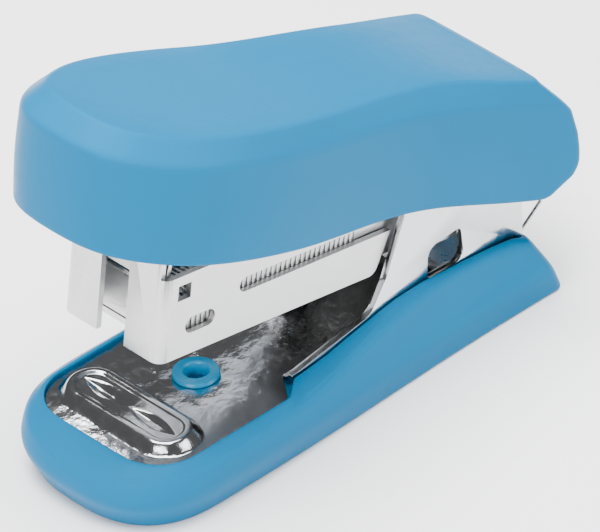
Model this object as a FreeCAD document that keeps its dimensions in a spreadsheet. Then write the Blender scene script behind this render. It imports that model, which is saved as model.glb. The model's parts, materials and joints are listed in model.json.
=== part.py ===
"""Mini stapler for 24/6 staples: foot, base plate, magazine, pusher and handle.

Row frame: +X to the rear, +Y across, +Z up, millimetres. The origin is on the underside,
in the middle of the foot's footprint. The magazine and the handle share one pivot pin.
Their pieces are drawn level, with the pivot at the origin, and are then raised into place.
"""
import FreeCAD, Part
import math
import os
import Sketcher

doc = FreeCAD.newDocument("Stapler")

# ---------------------------------------------------------------- driving dimensions
sheet = doc.addObject("Spreadsheet::Sheet", "Sizes")

DIMENSIONS = [
    # foot
    ("foot_length", 61.4, "footprint length on the table"),
    ("foot_half", 11.0, "half width of the footprint at its broad front"),
    ("foot_tail_half", 10.4, "half width of the footprint at the tail"),
    ("foot_belly", 0.9, "how far the belt stands out past the footprint"),
    ("belt_height", 3.6, "height of the widest line of the foot"),
    ("shoulder_height", 6.4, "height of the soft crease below the rim"),
    ("rim_front", 7.3, "rim height at the front"),
    ("rim_rear", 9.1, "rim height beside the uprights"),
    ("foot_wall", 1.5, "moulded wall of the foot"),
    ("deck_thick", 1.4, "deck under the base plate"),
    ("foot_rib", 1.6, "cross rib under the middle of the foot"),
    ("tail_lean", 3.2, "how far the tail's top stands in front of its tip"),
    # base plate
    ("sheet_plate", 0.8, "base plate sheet"),
    ("plate_top", 7.0, "height of the base plate's upper face"),
    ("plate_front", 2.9, "foot front to base plate front"),
    ("plate_half", 9.7, "half width of the base plate's nose"),
    ("plate_corner", 5.6, "corner radius of the base plate's nose"),
    ("plate_gap", 0.1, "gap between the base plate's edge and the rim"),
    ("upright_foot", 21.5, "start of the side flanges, behind the base plate's front"),
    ("upright_front", 34.4, "front of the uprights, behind the base plate's front"),
    ("upright_lean", 3.4, "how far the uprights' front edge leans back"),
    ("upright_ear", 2.4, "radius of the upright's ear round the pin"),
    ("lip_rise", 1.8, "height of the side flanges in front of the uprights"),
    ("eyelet_x", 14.9, "base plate's front to the eyelet"),
    ("eyelet_radius", 2.4, "radius of the eyelet's flange"),
    ("eyelet_shank", 1.45, "radius of the eyelet's shank"),
    ("eyelet_bore", 1.1, "radius of the hole through the eyelet"),
    ("anvil_setback", 4.7, "base plate's front to the middle of the anvil"),
    ("side_gap", 0.1, "running gap on each side of the magazine"),
    # anvil
    ("anvil_length", 17.6, "anvil boss across the stapler"),
    ("anvil_width", 6.6, "anvil boss along the stapler"),
    ("anvil_rise", 1.2, "height of the anvil boss"),
    ("anvil_depth", 0.55, "depth of the clinching pockets"),
    # pivot
    ("pivot_x", 24.5, "pivot behind the origin"),
    ("pivot_z", 20.0, "pivot above the table"),
    ("pin_radius", 1.5, "pivot pin radius"),
    ("pin_fit", 0.05, "radial clearance on the pivot pin"),
    ("pin_head", 0.7, "thickness of the pin's head and of its clip"),
    ("pin_head_radius", 2.2, "radius of the pin's head and of its clip"),
    # magazine
    ("magazine_tilt", 8.94, "how far the magazine is raised at rest, degrees"),
    ("magazine_reach", 48.1, "pivot to the magazine's front face"),
    ("magazine_drop", 9.5, "pivot above the magazine's lower edge"),
    ("magazine_height", 9.8, "height of the magazine's side walls"),
    ("nose_height", 14.0, "height of the magazine's front plates"),
    ("sheet_magazine", 0.7, "magazine sheet"),
    ("staple_crown", 13.0, "outside width of a staple"),
    ("nose_slot", 2.05, "half width of the slot between the front plates"),
    ("bend_radius", 1.2, "outside bend radius of the magazine"),
    ("strip_length", 31.0, "length of the magazine's lower strip"),
    ("window_low", 4.75, "lower edge of the long window"),
    ("window_high", 6.5, "upper edge of the long window"),
    ("window_start", 11.0, "front end of the long window"),
    ("ear_radius", 3.0, "radius of the magazine's ears"),
    ("floor_start", 3.0, "magazine front to the front of its floor"),
    # staples and rail
    ("staple_wire", 0.5, "staple wire thickness"),
    ("staple_pitch", 0.7, "width of one staple in the strip"),
    ("staple_count", 37, "staples left in the strip"),
    ("crown_height", 6.9, "top of the staples above the magazine's lower edge"),
    ("rail_sheet", 0.6, "rail sheet"),
    ("rail_gap", 0.2, "gap between staples and rail"),
    ("rail_start", 3.1, "magazine front to the front of the rail"),
    ("driver_room", 2.3, "magazine front to the first staple"),
    # pusher
    ("pusher_length", 5.0, "pusher along the rail"),
    ("pusher_travel", 5.5, "how far the pusher draws back"),
    ("rod_radius", 0.8, "guide rod radius"),
    ("rod_height", 3.2, "guide rod above the magazine's lower edge"),
    ("spring_wire", 0.4, "pusher spring wire"),
    ("spring_radius", 1.6, "pusher spring mean radius"),
    # handle
    ("handle_travel", 10.0, "handle above the magazine at rest, degrees"),
    ("cover_tilt", 20.8, "slope of the cover's lower edge at rest, degrees"),
    ("cover_reach", 58.2, "pivot to the cover's nose"),
    ("cover_drop", 5.42, "pivot above the cover's lower edge"),
    ("cover_wall_height", 11.0, "height of the cover's side wall"),
    ("cover_height", 13.6, "height of the cover"),
    ("cover_bevel", 2.5, "width of the bevel round the cover's top"),
    ("cover_wall", 1.1, "moulded wall of the cover"),
    ("cover_roof", 1.5, "moulded roof of the cover"),
    ("cover_broad", 12.5, "half width of the cover at its broad front"),
    ("cover_waist", 9.7, "half width of the cover at its waist"),
    ("cover_rear_half", 12.6, "half width of the cover at its rear"),
    ("cover_rear", 8.9, "pivot to the back of the cover"),
    ("cover_sweep", 2.8, "how far the cover's wall leans forward"),
    ("lever_sheet", 0.8, "lever sheet"),
    ("lever_rise", 3.5, "pivot to the lever's underside"),
    ("driver_sheet", 0.5, "driver blade thickness"),
    ("driver_setback", 1.7, "magazine front to the driver blade when pressed home"),
]

values = {}
for row, (alias, value, note) in enumerate(DIMENSIONS, start=1):
    sheet.set("A%d" % row, note)
    sheet.set("B%d" % row, str(value))
    sheet.setAlias("B%d" % row, alias)
    values[alias] = value
doc.recompute()


class Size:
    """A length that knows both its number and the spreadsheet expression behind it."""

    def __init__(self, value, text):
        self.value = float(value)
        self.text = text

    def __add__(self, other):
        other = as_size(other)
        return Size(self.value + other.value, "(%s + %s)" % (self.text, other.text))

    def __sub__(self, other):
        other = as_size(other)
        return Size(self.value - other.value, "(%s - %s)" % (self.text, other.text))

    def __mul__(self, other):
        other = as_size(other)
        return Size(self.value * other.value, "(%s * %s)" % (self.text, other.text))

    def __truediv__(self, other):
        other = as_size(other)
        return Size(self.value / other.value, "(%s / %s)" % (self.text, other.text))

    def __neg__(self):
        return Size(-self.value, "(0 - %s)" % self.text)

    __radd__ = __add__
    __rmul__ = __mul__

    def __rsub__(self, other):
        return as_size(other) - self


def as_size(number):
    if isinstance(number, Size):
        return number
    return Size(number, "%.6g" % number)


def size(alias):
    return Size(values[alias], "Sizes.%s" % alias)


# ---------------------------------------------------------------- drawing helpers
def bind(target, prop, length):
    """Set a property and tie it to the sheet."""
    length = as_size(length)
    if "Sizes." in length.text:
        target.setExpression(prop, length.text)
    else:
        setattr(target, prop, length.value)


def new_body(name):
    body = doc.addObject("PartDesign::Body", name)
    body.Label = name
    return body


def plane_of(body, role):
    for feature in body.Origin.OriginFeatures:
        if feature.Role == role:
            return feature


def new_sketch(body, role, offset=None):
    count = len([item for item in body.Group if item.TypeId == "Sketcher::SketchObject"])
    sketch = body.newObject("Sketcher::SketchObject", "%s_sketch%d" % (body.Name, count + 1))
    sketch.AttachmentSupport = (plane_of(body, role), [""])
    sketch.MapMode = "FlatFace"
    if offset is not None:
        offset = as_size(offset)
        sketch.AttachmentOffset = FreeCAD.Placement(
            FreeCAD.Vector(0, 0, offset.value), FreeCAD.Rotation())
        if "Sizes." in offset.text:
            sketch.setExpression("AttachmentOffset.Base.z", offset.text)
    return sketch


def hold_point(sketch, index, end, across, up):
    """Fix one point of a sketch by its distances from the origin; None leaves one free."""
    for kind, axis, length in (("DistanceX", -2, across), ("DistanceY", -1, up)):
        if length is None:
            continue
        length = as_size(length)
        if abs(length.value) < 1e-9:
            sketch.addConstraint(Sketcher.Constraint("PointOnObject", index, end, axis))
            continue
        mark = sketch.addConstraint(
            Sketcher.Constraint(kind, -1, 1, index, end, length.value))
        if "Sizes." in length.text:
            sketch.setExpression("Constraints[%d]" % mark, length.text)


def draw_polygon(sketch, corners):
    """Closed outline of straight lines, every corner held by the sheet."""
    corners = [(as_size(across), as_size(up)) for across, up in corners]
    first = None
    for index, (start, finish) in enumerate(zip(corners, corners[1:] + corners[:1])):
        line = Part.LineSegment(
            FreeCAD.Vector(start[0].value, start[1].value, 0),
            FreeCAD.Vector(finish[0].value, finish[1].value, 0))
        mark = sketch.addGeometry(line, False)
        first = mark if first is None else first
        if index:
            sketch.addConstraint(Sketcher.Constraint("Coincident", mark - 1, 2, mark, 1))
        hold_point(sketch, mark, 1, start[0], start[1])
    sketch.addConstraint(Sketcher.Constraint("Coincident", mark, 2, first, 1))


def draw_box(sketch, low_across, low_up, high_across, high_up):
    draw_polygon(sketch, [(low_across, low_up), (high_across, low_up),
                          (high_across, high_up), (low_across, high_up)])


def draw_circle(sketch, across, up, radius):
    across, up, radius = as_size(across), as_size(up), as_size(radius)
    circle = Part.Circle(FreeCAD.Vector(across.value, up.value, 0),
                         FreeCAD.Vector(0, 0, 1), radius.value)
    mark = sketch.addGeometry(circle, False)
    hold_point(sketch, mark, 3, across, up)
    held = sketch.addConstraint(Sketcher.Constraint("Radius", mark, radius.value))
    if "Sizes." in radius.text:
        sketch.setExpression("Constraints[%d]" % held, radius.text)


def draw_slot(sketch, low_end, high_end, low_side, high_side, turned=False):
    """Round-ended slot along the sketch's first axis, or its second when turned."""
    radius = (high_side - low_side) / 2
    middle = (high_side + low_side) / 2
    near = low_end + radius
    far = high_end - radius

    def place(along, aside):
        return (aside, along) if turned else (along, aside)

    def vector(point):
        return FreeCAD.Vector(point[0].value, point[1].value, 0)

    for start, finish in ((place(near, high_side), place(far, high_side)),
                          (place(far, low_side), place(near, low_side))):
        mark = sketch.addGeometry(Part.LineSegment(vector(start), vector(finish)), False)
        hold_point(sketch, mark, 1, *start)
        hold_point(sketch, mark, 2, *finish)
    quarter = math.pi / 2
    first_turn = 0 if turned else -quarter
    for centre, turn, high_line, low_line in (
            (far, first_turn, (0, 2), (1, 1)), (near, first_turn + math.pi, (0, 1), (1, 2))):
        circle = Part.Circle(vector(place(centre, middle)), FreeCAD.Vector(0, 0, 1), radius.value)
        arc = Part.ArcOfCircle(circle, turn, turn + math.pi)
        mark = sketch.addGeometry(arc, False)
        starts_high = (centre is far) == turned
        high_tip, low_tip = (1, 2) if starts_high else (2, 1)
        sketch.addConstraint(Sketcher.Constraint("Coincident", mark, high_tip, *high_line))
        sketch.addConstraint(Sketcher.Constraint("Coincident", mark, low_tip, *low_line))
        hold_point(sketch, mark, 3, *place(centre, None))


def grow(body, kind, sketch, length, midplane=False, reverse=False):
    """Pad or pocket a sketch and return the feature."""
    count = len([item for item in body.Group if item.TypeId == "PartDesign::" + kind])
    feature = body.newObject("PartDesign::" + kind, "%s_%s%d" % (body.Name, kind, count + 1))
    feature.Profile = sketch
    bind(feature, "Length", length)
    if midplane:
        feature.SideType = "Symmetric"
    feature.Reversed = reverse
    sketch.Visibility = False
    return feature


def across_pad(body, corners, width):
    """Side profile in X and Z, padded across the stapler about its middle plane."""
    sketch = new_sketch(body, "XZ_Plane")
    draw_polygon(sketch, corners)
    return grow(body, "Pad", sketch, width, midplane=True)


def across_cut(body, corners, width):
    sketch = new_sketch(body, "XZ_Plane")
    draw_polygon(sketch, corners)
    return grow(body, "Pocket", sketch, width, midplane=True)


def across_hole(body, across, up, radius, width):
    sketch = new_sketch(body, "XZ_Plane")
    draw_circle(sketch, across, up, radius)
    return grow(body, "Pocket", sketch, width, midplane=True)


def across_disc(body, across, up, radius, width):
    sketch = new_sketch(body, "XZ_Plane")
    draw_circle(sketch, across, up, radius)
    return grow(body, "Pad", sketch, width, midplane=True)


def plan_pad(body, corners, bottom, thick):
    sketch = new_sketch(body, "XY_Plane", bottom)
    draw_polygon(sketch, corners)
    return grow(body, "Pad", sketch, thick)


def plan_cut(body, corners, top, depth):
    sketch = new_sketch(body, "XY_Plane", top)
    draw_polygon(sketch, corners)
    return grow(body, "Pocket", sketch, depth)


def round_edges(body, radius, chosen):
    """Fillet the edges of the body's tip whose middle point passes the test."""
    doc.recompute()
    tip = body.Tip
    names = []
    for index, edge in enumerate(tip.Shape.Edges, start=1):
        middle = edge.valueAt((edge.FirstParameter + edge.LastParameter) / 2)
        if chosen(edge, middle):
            names.append("Edge%d" % index)
    fillet = body.newObject("PartDesign::Fillet", body.Name + "_Fillet")
    fillet.Base = (tip, names)
    bind(fillet, "Radius", radius)
    return fillet


def is_along(edge, axis):
    start, finish = edge.valueAt(edge.FirstParameter), edge.valueAt(edge.LastParameter)
    reach = finish - start
    return reach.Length > 1e-6 and abs(reach.normalize().dot(axis)) > 0.999


pivot_x = size("pivot_x")
pivot_z = size("pivot_z")
raised = {"magazine": size("magazine_tilt"),
          "handle": size("magazine_tilt") + size("handle_travel"),
          "cover": size("cover_tilt")}


def raise_into_place(piece, group):
    """Move a piece drawn level round the pivot to where it sits at rest."""
    tilt = raised[group]
    move = FreeCAD.Placement(
        FreeCAD.Vector(pivot_x.value, 0, pivot_z.value),
        FreeCAD.Rotation(FreeCAD.Vector(0, 1, 0), tilt.value))
    piece.Placement = move.multiply(piece.Placement)
    if piece.TypeId != "Part::Feature":
        piece.setExpression("Placement.Base.x", pivot_x.text)
        piece.setExpression("Placement.Base.z", pivot_z.text)
        piece.setExpression("Placement.Rotation.Angle", tilt.text)


Y_AXIS = FreeCAD.Vector(0, 1, 0)
Z_AXIS = FreeCAD.Vector(0, 0, 1)
X_AXIS = FreeCAD.Vector(1, 0, 0)


def plan_disc(body, across, up, radius, bottom, thick):
    sketch = new_sketch(body, "XY_Plane", bottom)
    draw_circle(sketch, across, up, radius)
    return grow(body, "Pad", sketch, thick)


def plan_hole(body, across, up, radius, top, depth):
    sketch = new_sketch(body, "XY_Plane", top)
    draw_circle(sketch, across, up, radius)
    return grow(body, "Pocket", sketch, depth)


def free_piece(name, shape):
    """A shape with curved outlines, kept as a plain feature."""
    piece = doc.addObject("Part::Feature", name)
    piece.Label = name
    piece.Shape = shape
    return piece


def smooth_wire(half, height):
    """Closed outline from its +Y half: a spline from tail to tail round the nose, then a line."""
    left = [FreeCAD.Vector(x, -y, height) for x, y in reversed(half)]
    right = [FreeCAD.Vector(x, y, height) for x, y in half[1:]]
    curve = Part.BSplineCurve()
    curve.interpolate(left + right)
    return Part.Wire([curve.toShape(), Part.makeLine(right[-1], left[0])])


def inset(half, distance):
    """Move the points of a half outline inwards, square to the outline; the tail line stays."""
    mirrored = [FreeCAD.Vector(x, -y, 0) for x, y in reversed(half[1:])]
    points = mirrored + [FreeCAD.Vector(x, y, 0) for x, y in half]
    curve = Part.BSplineCurve()
    curve.interpolate(points)
    moved = []
    for x, y in half:
        place = FreeCAD.Vector(x, y, 0)
        along = curve.tangent(curve.parameter(place))[0]
        moved.append((x + along.y * distance, y - along.x * distance))
    moved[0] = (moved[0][0], 0.0)
    return moved


def side_prism(points, half_width):
    """Solid with a closed side profile in X and Z, across the whole stapler."""
    wire = Part.makePolygon([FreeCAD.Vector(x, -half_width, z) for x, z in points + points[:1]])
    return Part.Face(wire).extrude(FreeCAD.Vector(0, 2 * half_width, 0))


# ---------------------------------------------------------------- places shared by the base
foot_end = size("foot_length") / 2
plate_front = size("plate_front") - foot_end
plate_top = size("plate_top")
plate_low = plate_top - size("sheet_plate")
plate_half = size("plate_half")
magazine_half = size("staple_crown") / 2 + size("sheet_magazine")
upright_in = magazine_half + size("side_gap")
upright_out = upright_in + size("sheet_plate")
upright_rear = pivot_x + size("upright_ear")
flange_start = plate_front + size("upright_foot")
lip_top = plate_top + size("lip_rise")
eyelet_x = plate_front + size("eyelet_x")
bore_radius = size("pin_radius") + size("pin_fit")

# ---------------------------------------------------------------- base plate
base_plate = new_body("base_plate")
plan_pad(base_plate, [
    (plate_front, -plate_half), (flange_start, -plate_half), (flange_start + 2.5, -upright_out),
    (upright_rear, -upright_out), (upright_rear, upright_out), (flange_start + 2.5, upright_out),
    (flange_start, plate_half), (plate_front, plate_half)], plate_low, size("sheet_plate"))
front_edge = plate_front + size("upright_front")
front_top = front_edge + size("upright_lean")
across_pad(base_plate, [
    (flange_start + 2.5, plate_low), (flange_start + 3.5, plate_top + 0.4),
    (front_edge - 1.8, lip_top), (front_edge, lip_top + 1.8),
    (front_top, pivot_z - 0.6), (front_top + 1.4, pivot_z + 0.6),
    (pivot_x, pivot_z + size("upright_ear")), (pivot_x, pivot_z),
    (upright_rear, pivot_z), (upright_rear, plate_low)], upright_out * 2)
across_disc(base_plate, pivot_x, pivot_z, size("upright_ear"), upright_out * 2)
across_cut(base_plate, [
    (flange_start - 1, plate_top), (upright_rear + 1, plate_top),
    (upright_rear + 1, pivot_z + 8), (flange_start - 1, pivot_z + 8)], upright_in * 2)
across_cut(base_plate, [
    (front_edge + 6.3, plate_top + 2.5), (front_edge + 11.7, plate_top + 2.3),
    (front_edge + 11.3, plate_top + 6.6), (front_edge + 6.5, plate_top + 6.3)],
    upright_out * 2 + 2)
across_hole(base_plate, pivot_x, pivot_z, bore_radius, upright_out * 2 + 2)
plan_hole(base_plate, eyelet_x, 0, size("eyelet_shank"), plate_top + 1, size("sheet_plate") + 2)
round_edges(base_plate, size("plate_corner"), lambda edge, middle: (
    is_along(edge, Z_AXIS) and abs(middle.x - plate_front.value) < 0.01))
round_edges(base_plate, 0.9, lambda edge, middle: (
    is_along(edge, Y_AXIS) and plate_top.value + 2 < middle.z < plate_top.value + 7
    and front_edge.value + 6 < middle.x < front_edge.value + 12))
anvil_x = plate_front + size("anvil_setback")
anvil_half = size("anvil_length") / 2
sketch = new_sketch(base_plate, "XY_Plane", plate_top)
draw_slot(sketch, -anvil_half, anvil_half, anvil_x - size("anvil_width") / 2,
          anvil_x + size("anvil_width") / 2, turned=True)
grow(base_plate, "Pad", sketch, size("anvil_rise"))
round_edges(base_plate, 0.7, lambda edge, middle: (
    abs(middle.z - plate_top.value - values["anvil_rise"]) < 0.01
    and abs(middle.x - anvil_x.value) < 5))
for side in (-1, 1):
    pocket = base_plate.newObject("PartDesign::SubtractiveEllipsoid", "clinch_pocket")
    bind(pocket, "Radius1", size("anvil_depth"))
    bind(pocket, "Radius2", size("anvil_depth") * 2)
    bind(pocket, "Radius3", size("anvil_length") * 0.2)
    pocket.Placement = FreeCAD.Placement(
        FreeCAD.Vector(anvil_x.value, side * 0.21 * values["anvil_length"],
                       plate_top.value + values["anvil_rise"]), FreeCAD.Rotation())
    pocket.setExpression("Placement.Base.x", anvil_x.text)
    pocket.setExpression("Placement.Base.y", (size("anvil_length") * (0.21 * side)).text)
    pocket.setExpression("Placement.Base.z", (plate_top + size("anvil_rise")).text)
doc.recompute()

# ---------------------------------------------------------------- eyelet that holds plate to foot
eyelet = new_body("plate_eyelet")
deck_low = plate_low - size("deck_thick")
flange_top, flange_under = 0.8, 0.6
shank_low = deck_low - flange_under
plan_disc(eyelet, eyelet_x, 0, size("eyelet_radius"), plate_top, flange_top)
plan_disc(eyelet, eyelet_x, 0, size("eyelet_shank"), shank_low, plate_top - shank_low)
plan_disc(eyelet, eyelet_x, 0, size("eyelet_radius"), shank_low, flange_under)
plan_hole(eyelet, eyelet_x, 0, size("eyelet_bore"), plate_top + 2, 10)
round_edges(eyelet, 0.3, lambda edge, middle: middle.z > plate_top.value + 0.75)


# ---------------------------------------------------------------- foot
def foot_outline(nose_out, side_out, tail_out):
    """Half outline: a quarter ellipse at the nose, then a slow taper to the tail."""
    half = values["foot_half"] + side_out
    tail = values["foot_tail_half"] + tail_out
    nose = -foot_end.value - nose_out
    nose_length = 15.0 + nose_out
    points = []
    for degrees in (0, 30, 60, 90):
        turn = math.radians(degrees)
        points.append((nose + nose_length * (1 - math.cos(turn)), half * math.sin(turn)))
    points.append((-1.0, (half + tail) / 2))
    points.append((14.0, tail))
    points.append((foot_end.value + 4, tail))
    return points


belly = values["foot_belly"]
FOOT_SECTIONS = [(0.0, foot_outline(0, 0, 0)),
                 (values["belt_height"], foot_outline(belly, belly, 0.3)),
                 (values["shoulder_height"], foot_outline(-0.1, belly * 0.9, -0.2)),
                 (values["rim_rear"] + 2, foot_outline(-0.6, belly * 0.9, -0.9))]
foot = Part.makeLoft([smooth_wire(half, z) for z, half in FOOT_SECTIONS], True, True)

rim_front, rim_rear = values["rim_front"], values["rim_rear"]
rim_line = Part.BSplineCurve()
rim_line.interpolate([FreeCAD.Vector(x, 0, z) for x, z in (
    (-foot_end.value - 3, rim_front), (-20, rim_front), (-8, rim_front + 0.1),
    (0, (rim_front + rim_rear) / 2), (7, rim_rear - 0.15), (13, rim_rear),
    (20, rim_rear - 0.3), (25.5, rim_rear - 1.1))])
tail_tip = foot_end.value
tail_top = tail_tip - values["tail_lean"]
rim_rear_end = rim_line.value(rim_line.LastParameter)
profile = Part.Wire([
    rim_line.toShape(),
    Part.makeLine(rim_rear_end, FreeCAD.Vector(tail_top, 0, 6.4)),
    Part.makeLine(FreeCAD.Vector(tail_top, 0, 6.4), FreeCAD.Vector(tail_tip, 0, 0)),
    Part.makeLine(FreeCAD.Vector(tail_tip, 0, 0), FreeCAD.Vector(-foot_end.value - 3, 0, 0)),
    Part.makeLine(FreeCAD.Vector(-foot_end.value - 3, 0, 0), rim_line.value(0))])
profile.translate(FreeCAD.Vector(0, -20, 0))
foot = foot.common(Part.Face(profile).extrude(FreeCAD.Vector(0, 40, 0)))

gap = values["plate_gap"]
seat_half = plate_half.value + gap
seat_narrow = upright_out.value + gap
seat_front = plate_front.value - gap
seat_turn = flange_start.value + gap
seat_end = upright_rear.value + gap
seat = Part.Face(Part.makePolygon([FreeCAD.Vector(x, y, plate_low.value) for x, y in (
    (seat_front, -seat_half), (seat_turn, -seat_half), (seat_turn + 2.5, -seat_narrow),
    (seat_end, -seat_narrow), (seat_end, seat_narrow), (seat_turn + 2.5, seat_narrow),
    (seat_turn, seat_half), (seat_front, seat_half), (seat_front, -seat_half))]))
seat = seat.extrude(FreeCAD.Vector(0, 0, 10))
seat = seat.makeFillet(values["plate_corner"] + gap, [
    edge for edge in seat.Edges
    if is_along(edge, Z_AXIS) and abs(edge.valueAt(0).x - seat_front) < 0.01])
foot = foot.cut(seat)

wall = values["foot_wall"]
cavity = Part.makeLoft([smooth_wire(inset(half, wall), z) for z, half in (
    (-0.01, FOOT_SECTIONS[0][1]), FOOT_SECTIONS[1], FOOT_SECTIONS[2])], True, True)
room = Part.makeBox(60, 40, 20, FreeCAD.Vector(
    tail_tip - values["tail_lean"] - wall - 60, -20, deck_low.value - 20))
rib = Part.makeBox(values["foot_rib"], 40, 20,
                   FreeCAD.Vector(-values["foot_rib"] / 2, -20, -10))
foot = foot.cut(cavity.common(room).cut(rib))
foot = foot.cut(Part.makeCylinder(values["eyelet_shank"] + gap, 20,
                                  FreeCAD.Vector(eyelet_x.value, 0, 0), Z_AXIS))
foot_shell = free_piece("foot", foot)

# ---------------------------------------------------------------- pivot pin and its clip
head_start = upright_out + 0.1
pivot_pin = doc.addObject("Part::MultiFuse", "pivot_pin")
pivot_pin.Label = "pivot_pin"
pin_parts = []
for name, radius, start, length in (
        ("pin_shank", size("pin_radius"), -head_start, head_start * 2 + size("pin_head")),
        ("pin_head_disc", size("pin_head_radius"), -head_start - size("pin_head"),
         size("pin_head"))):
    piece = doc.addObject("Part::Cylinder", name)
    bind(piece, "Radius", radius)
    bind(piece, "Height", length)
    piece.Placement = FreeCAD.Placement(
        FreeCAD.Vector(0, start.value, 0), FreeCAD.Rotation(X_AXIS, -90))
    piece.setExpression("Placement.Base.y", start.text)
    pin_parts.append(piece)
pivot_pin.Shapes = pin_parts
pivot_pin.Placement = FreeCAD.Placement(
    FreeCAD.Vector(pivot_x.value, 0, pivot_z.value), FreeCAD.Rotation())
pivot_pin.setExpression("Placement.Base.x", pivot_x.text)
pivot_pin.setExpression("Placement.Base.z", pivot_z.text)


def ring(name, outer, inner, start, length, x, z):
    """Washer or tube lying across the stapler."""
    whole = doc.addObject("Part::Cut", name)
    whole.Label = name
    parts = []
    for tag, radius, extra in (("_outer", outer, 0), ("_inner", inner, 1)):
        piece = doc.addObject("Part::Cylinder", name + tag)
        bind(piece, "Radius", radius)
        bind(piece, "Height", length + 2 * extra)
        piece.Placement = FreeCAD.Placement(
            FreeCAD.Vector(0, (start - extra).value, 0), FreeCAD.Rotation(X_AXIS, -90))
        piece.setExpression("Placement.Base.y", (start - extra).text)
        parts.append(piece)
    whole.Base, whole.Tool = parts
    whole.Placement = FreeCAD.Placement(
        FreeCAD.Vector(x.value, 0, z.value), FreeCAD.Rotation())
    whole.setExpression("Placement.Base.x", x.text)
    whole.setExpression("Placement.Base.z", z.text)
    return whole


ring("pin_clip", size("pin_head_radius"), size("pin_radius"), head_start,
     size("pin_head"), pivot_x, pivot_z)

# ---------------------------------------------------------------- magazine, drawn level
front = -size("magazine_reach")
low = -size("magazine_drop")
wall_top = low + size("magazine_height")
inner_half = size("staple_crown") / 2
sheet_mag = size("sheet_magazine")
strip_end = front + size("strip_length")
window_low = low + size("window_low")
window_high = low + size("window_high")
ear = size("ear_radius")

magazine = new_body("magazine")
across_pad(magazine, [
    (front, low), (strip_end, low), (strip_end + 1.8, window_low),
    (strip_end + 2.2, window_high), (0, -ear), (0, ear), (-8, wall_top + 0.6),
    (-12, wall_top), (front, wall_top)], magazine_half * 2)
across_disc(magazine, 0, 0, ear, magazine_half * 2)
nose_top = low + size("nose_height")
across_pad(magazine, [(front, wall_top - 1), (front + sheet_mag, wall_top - 1),
                      (front + sheet_mag, nose_top), (front, nose_top)], inner_half * 2)
across_cut(magazine, [(front + sheet_mag, low - 1), (6, low - 1), (6, nose_top + 2),
                      (front + sheet_mag, nose_top + 2)], inner_half * 2)
sketch = new_sketch(magazine, "XZ_Plane")
draw_slot(sketch, front + size("window_start"), as_size(8.0), window_low, window_high)
grow(magazine, "Pocket", sketch, magazine_half * 2 + 2, midplane=True)
across_cut(magazine, [(strip_end - 0.5, window_low + 0.01), (8, window_low + 0.01),
                      (8, window_high - 0.2), (strip_end - 0.5, window_high - 0.2)],
           magazine_half * 2 + 2)
sketch = new_sketch(magazine, "XZ_Plane")
draw_slot(sketch, front + 3.5, front + 7.7, low + 2.5, low + 4.4)
grow(magazine, "Pocket", sketch, magazine_half * 2 + 2, midplane=True)
across_cut(magazine, [(front + 2.1, low + 6.9), (front + 3.9, low + 6.9),
                      (front + 3.9, low + 8.7), (front + 2.1, low + 8.7)],
           magazine_half * 2 + 2)
across_hole(magazine, 0, 0, bore_radius, magazine_half * 2 + 2)
across_pad(magazine, [(front + size("floor_start"), low), (strip_end - 1.5, low),
                      (strip_end - 1.5, low + sheet_mag),
                      (front + size("floor_start"), low + sheet_mag)], inner_half * 2)
sketch = new_sketch(magazine, "YZ_Plane", front - 1)
draw_box(sketch, -size("nose_slot"), low - 1, size("nose_slot"), nose_top + 1)
grow(magazine, "Pocket", sketch, sheet_mag + 1.5, reverse=True)
round_edges(magazine, size("bend_radius"), lambda edge, middle: (
    is_along(edge, Z_AXIS) and abs(middle.x - front.value) < 0.01
    and abs(abs(middle.y) - magazine_half.value) < 0.01))
round_edges(magazine, 1.2, lambda edge, middle: (
    is_along(edge, Y_AXIS) and abs(middle.z - low.value) < 0.01
    and abs(middle.x - strip_end.value) < 0.01))
raise_into_place(magazine, "magazine")

# ---------------------------------------------------------------- staple rail with its yoke
rail_half = inner_half - size("staple_pitch") - size("rail_gap")
rail_top = low + size("crown_height") - size("staple_wire") - size("rail_gap")
rail_front = front + size("rail_start")
strip_front = front + size("driver_room")
strip_length = size("staple_pitch") * size("staple_count")
pusher_front = strip_front + strip_length + 0.05
pusher_rear = pusher_front + size("pusher_length")
yoke_front = pusher_rear + size("pusher_travel") + 0.35
cheek_in = inner_half - size("rail_sheet")
rail = new_body("staple_rail")
rail_low = low + sheet_mag + 0.05
across_pad(rail, [(rail_front, rail_low), (yoke_front + 1, rail_low),
                  (yoke_front + 1, rail_top), (rail_front, rail_top)], rail_half * 2)
across_pad(rail, [(yoke_front, low), (-3, low), (-2, window_high), (0, -ear), (0, ear),
                  (-7, wall_top + 1.5), (yoke_front, wall_top)], inner_half * 2)
across_disc(rail, 0, 0, ear, inner_half * 2)
across_cut(rail, [(yoke_front, low - 1), (6, low - 1), (6, nose_top + 2),
                  (yoke_front, nose_top + 2)], cheek_in * 2)
across_pad(rail, [(yoke_front, rail_low), (-3.2, rail_low),
                  (-3.2, rail_top), (yoke_front, rail_top)], cheek_in * 2)
across_cut(rail, [(rail_front + size("rail_sheet"), low - 1), (-4, low - 1),
                  (-4, rail_top - size("rail_sheet")),
                  (rail_front + size("rail_sheet"), rail_top - size("rail_sheet"))],
           (rail_half - size("rail_sheet")) * 2)
plan_cut(rail, [(rail_front + 2, -1.6), (-5, -1.6), (-5, 1.6), (rail_front + 2, 1.6)],
         rail_top + 1, size("rail_sheet") + 2)
across_hole(rail, 0, 0, bore_radius, inner_half * 2 + 2)
sketch = new_sketch(rail, "YZ_Plane", rail_front - 1)
rod_z = low + size("rod_height")
draw_circle(sketch, 0, rod_z, size("rod_radius") + 0.02)
grow(rail, "Pocket", sketch, 60, reverse=True)
raise_into_place(rail, "magazine")

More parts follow.
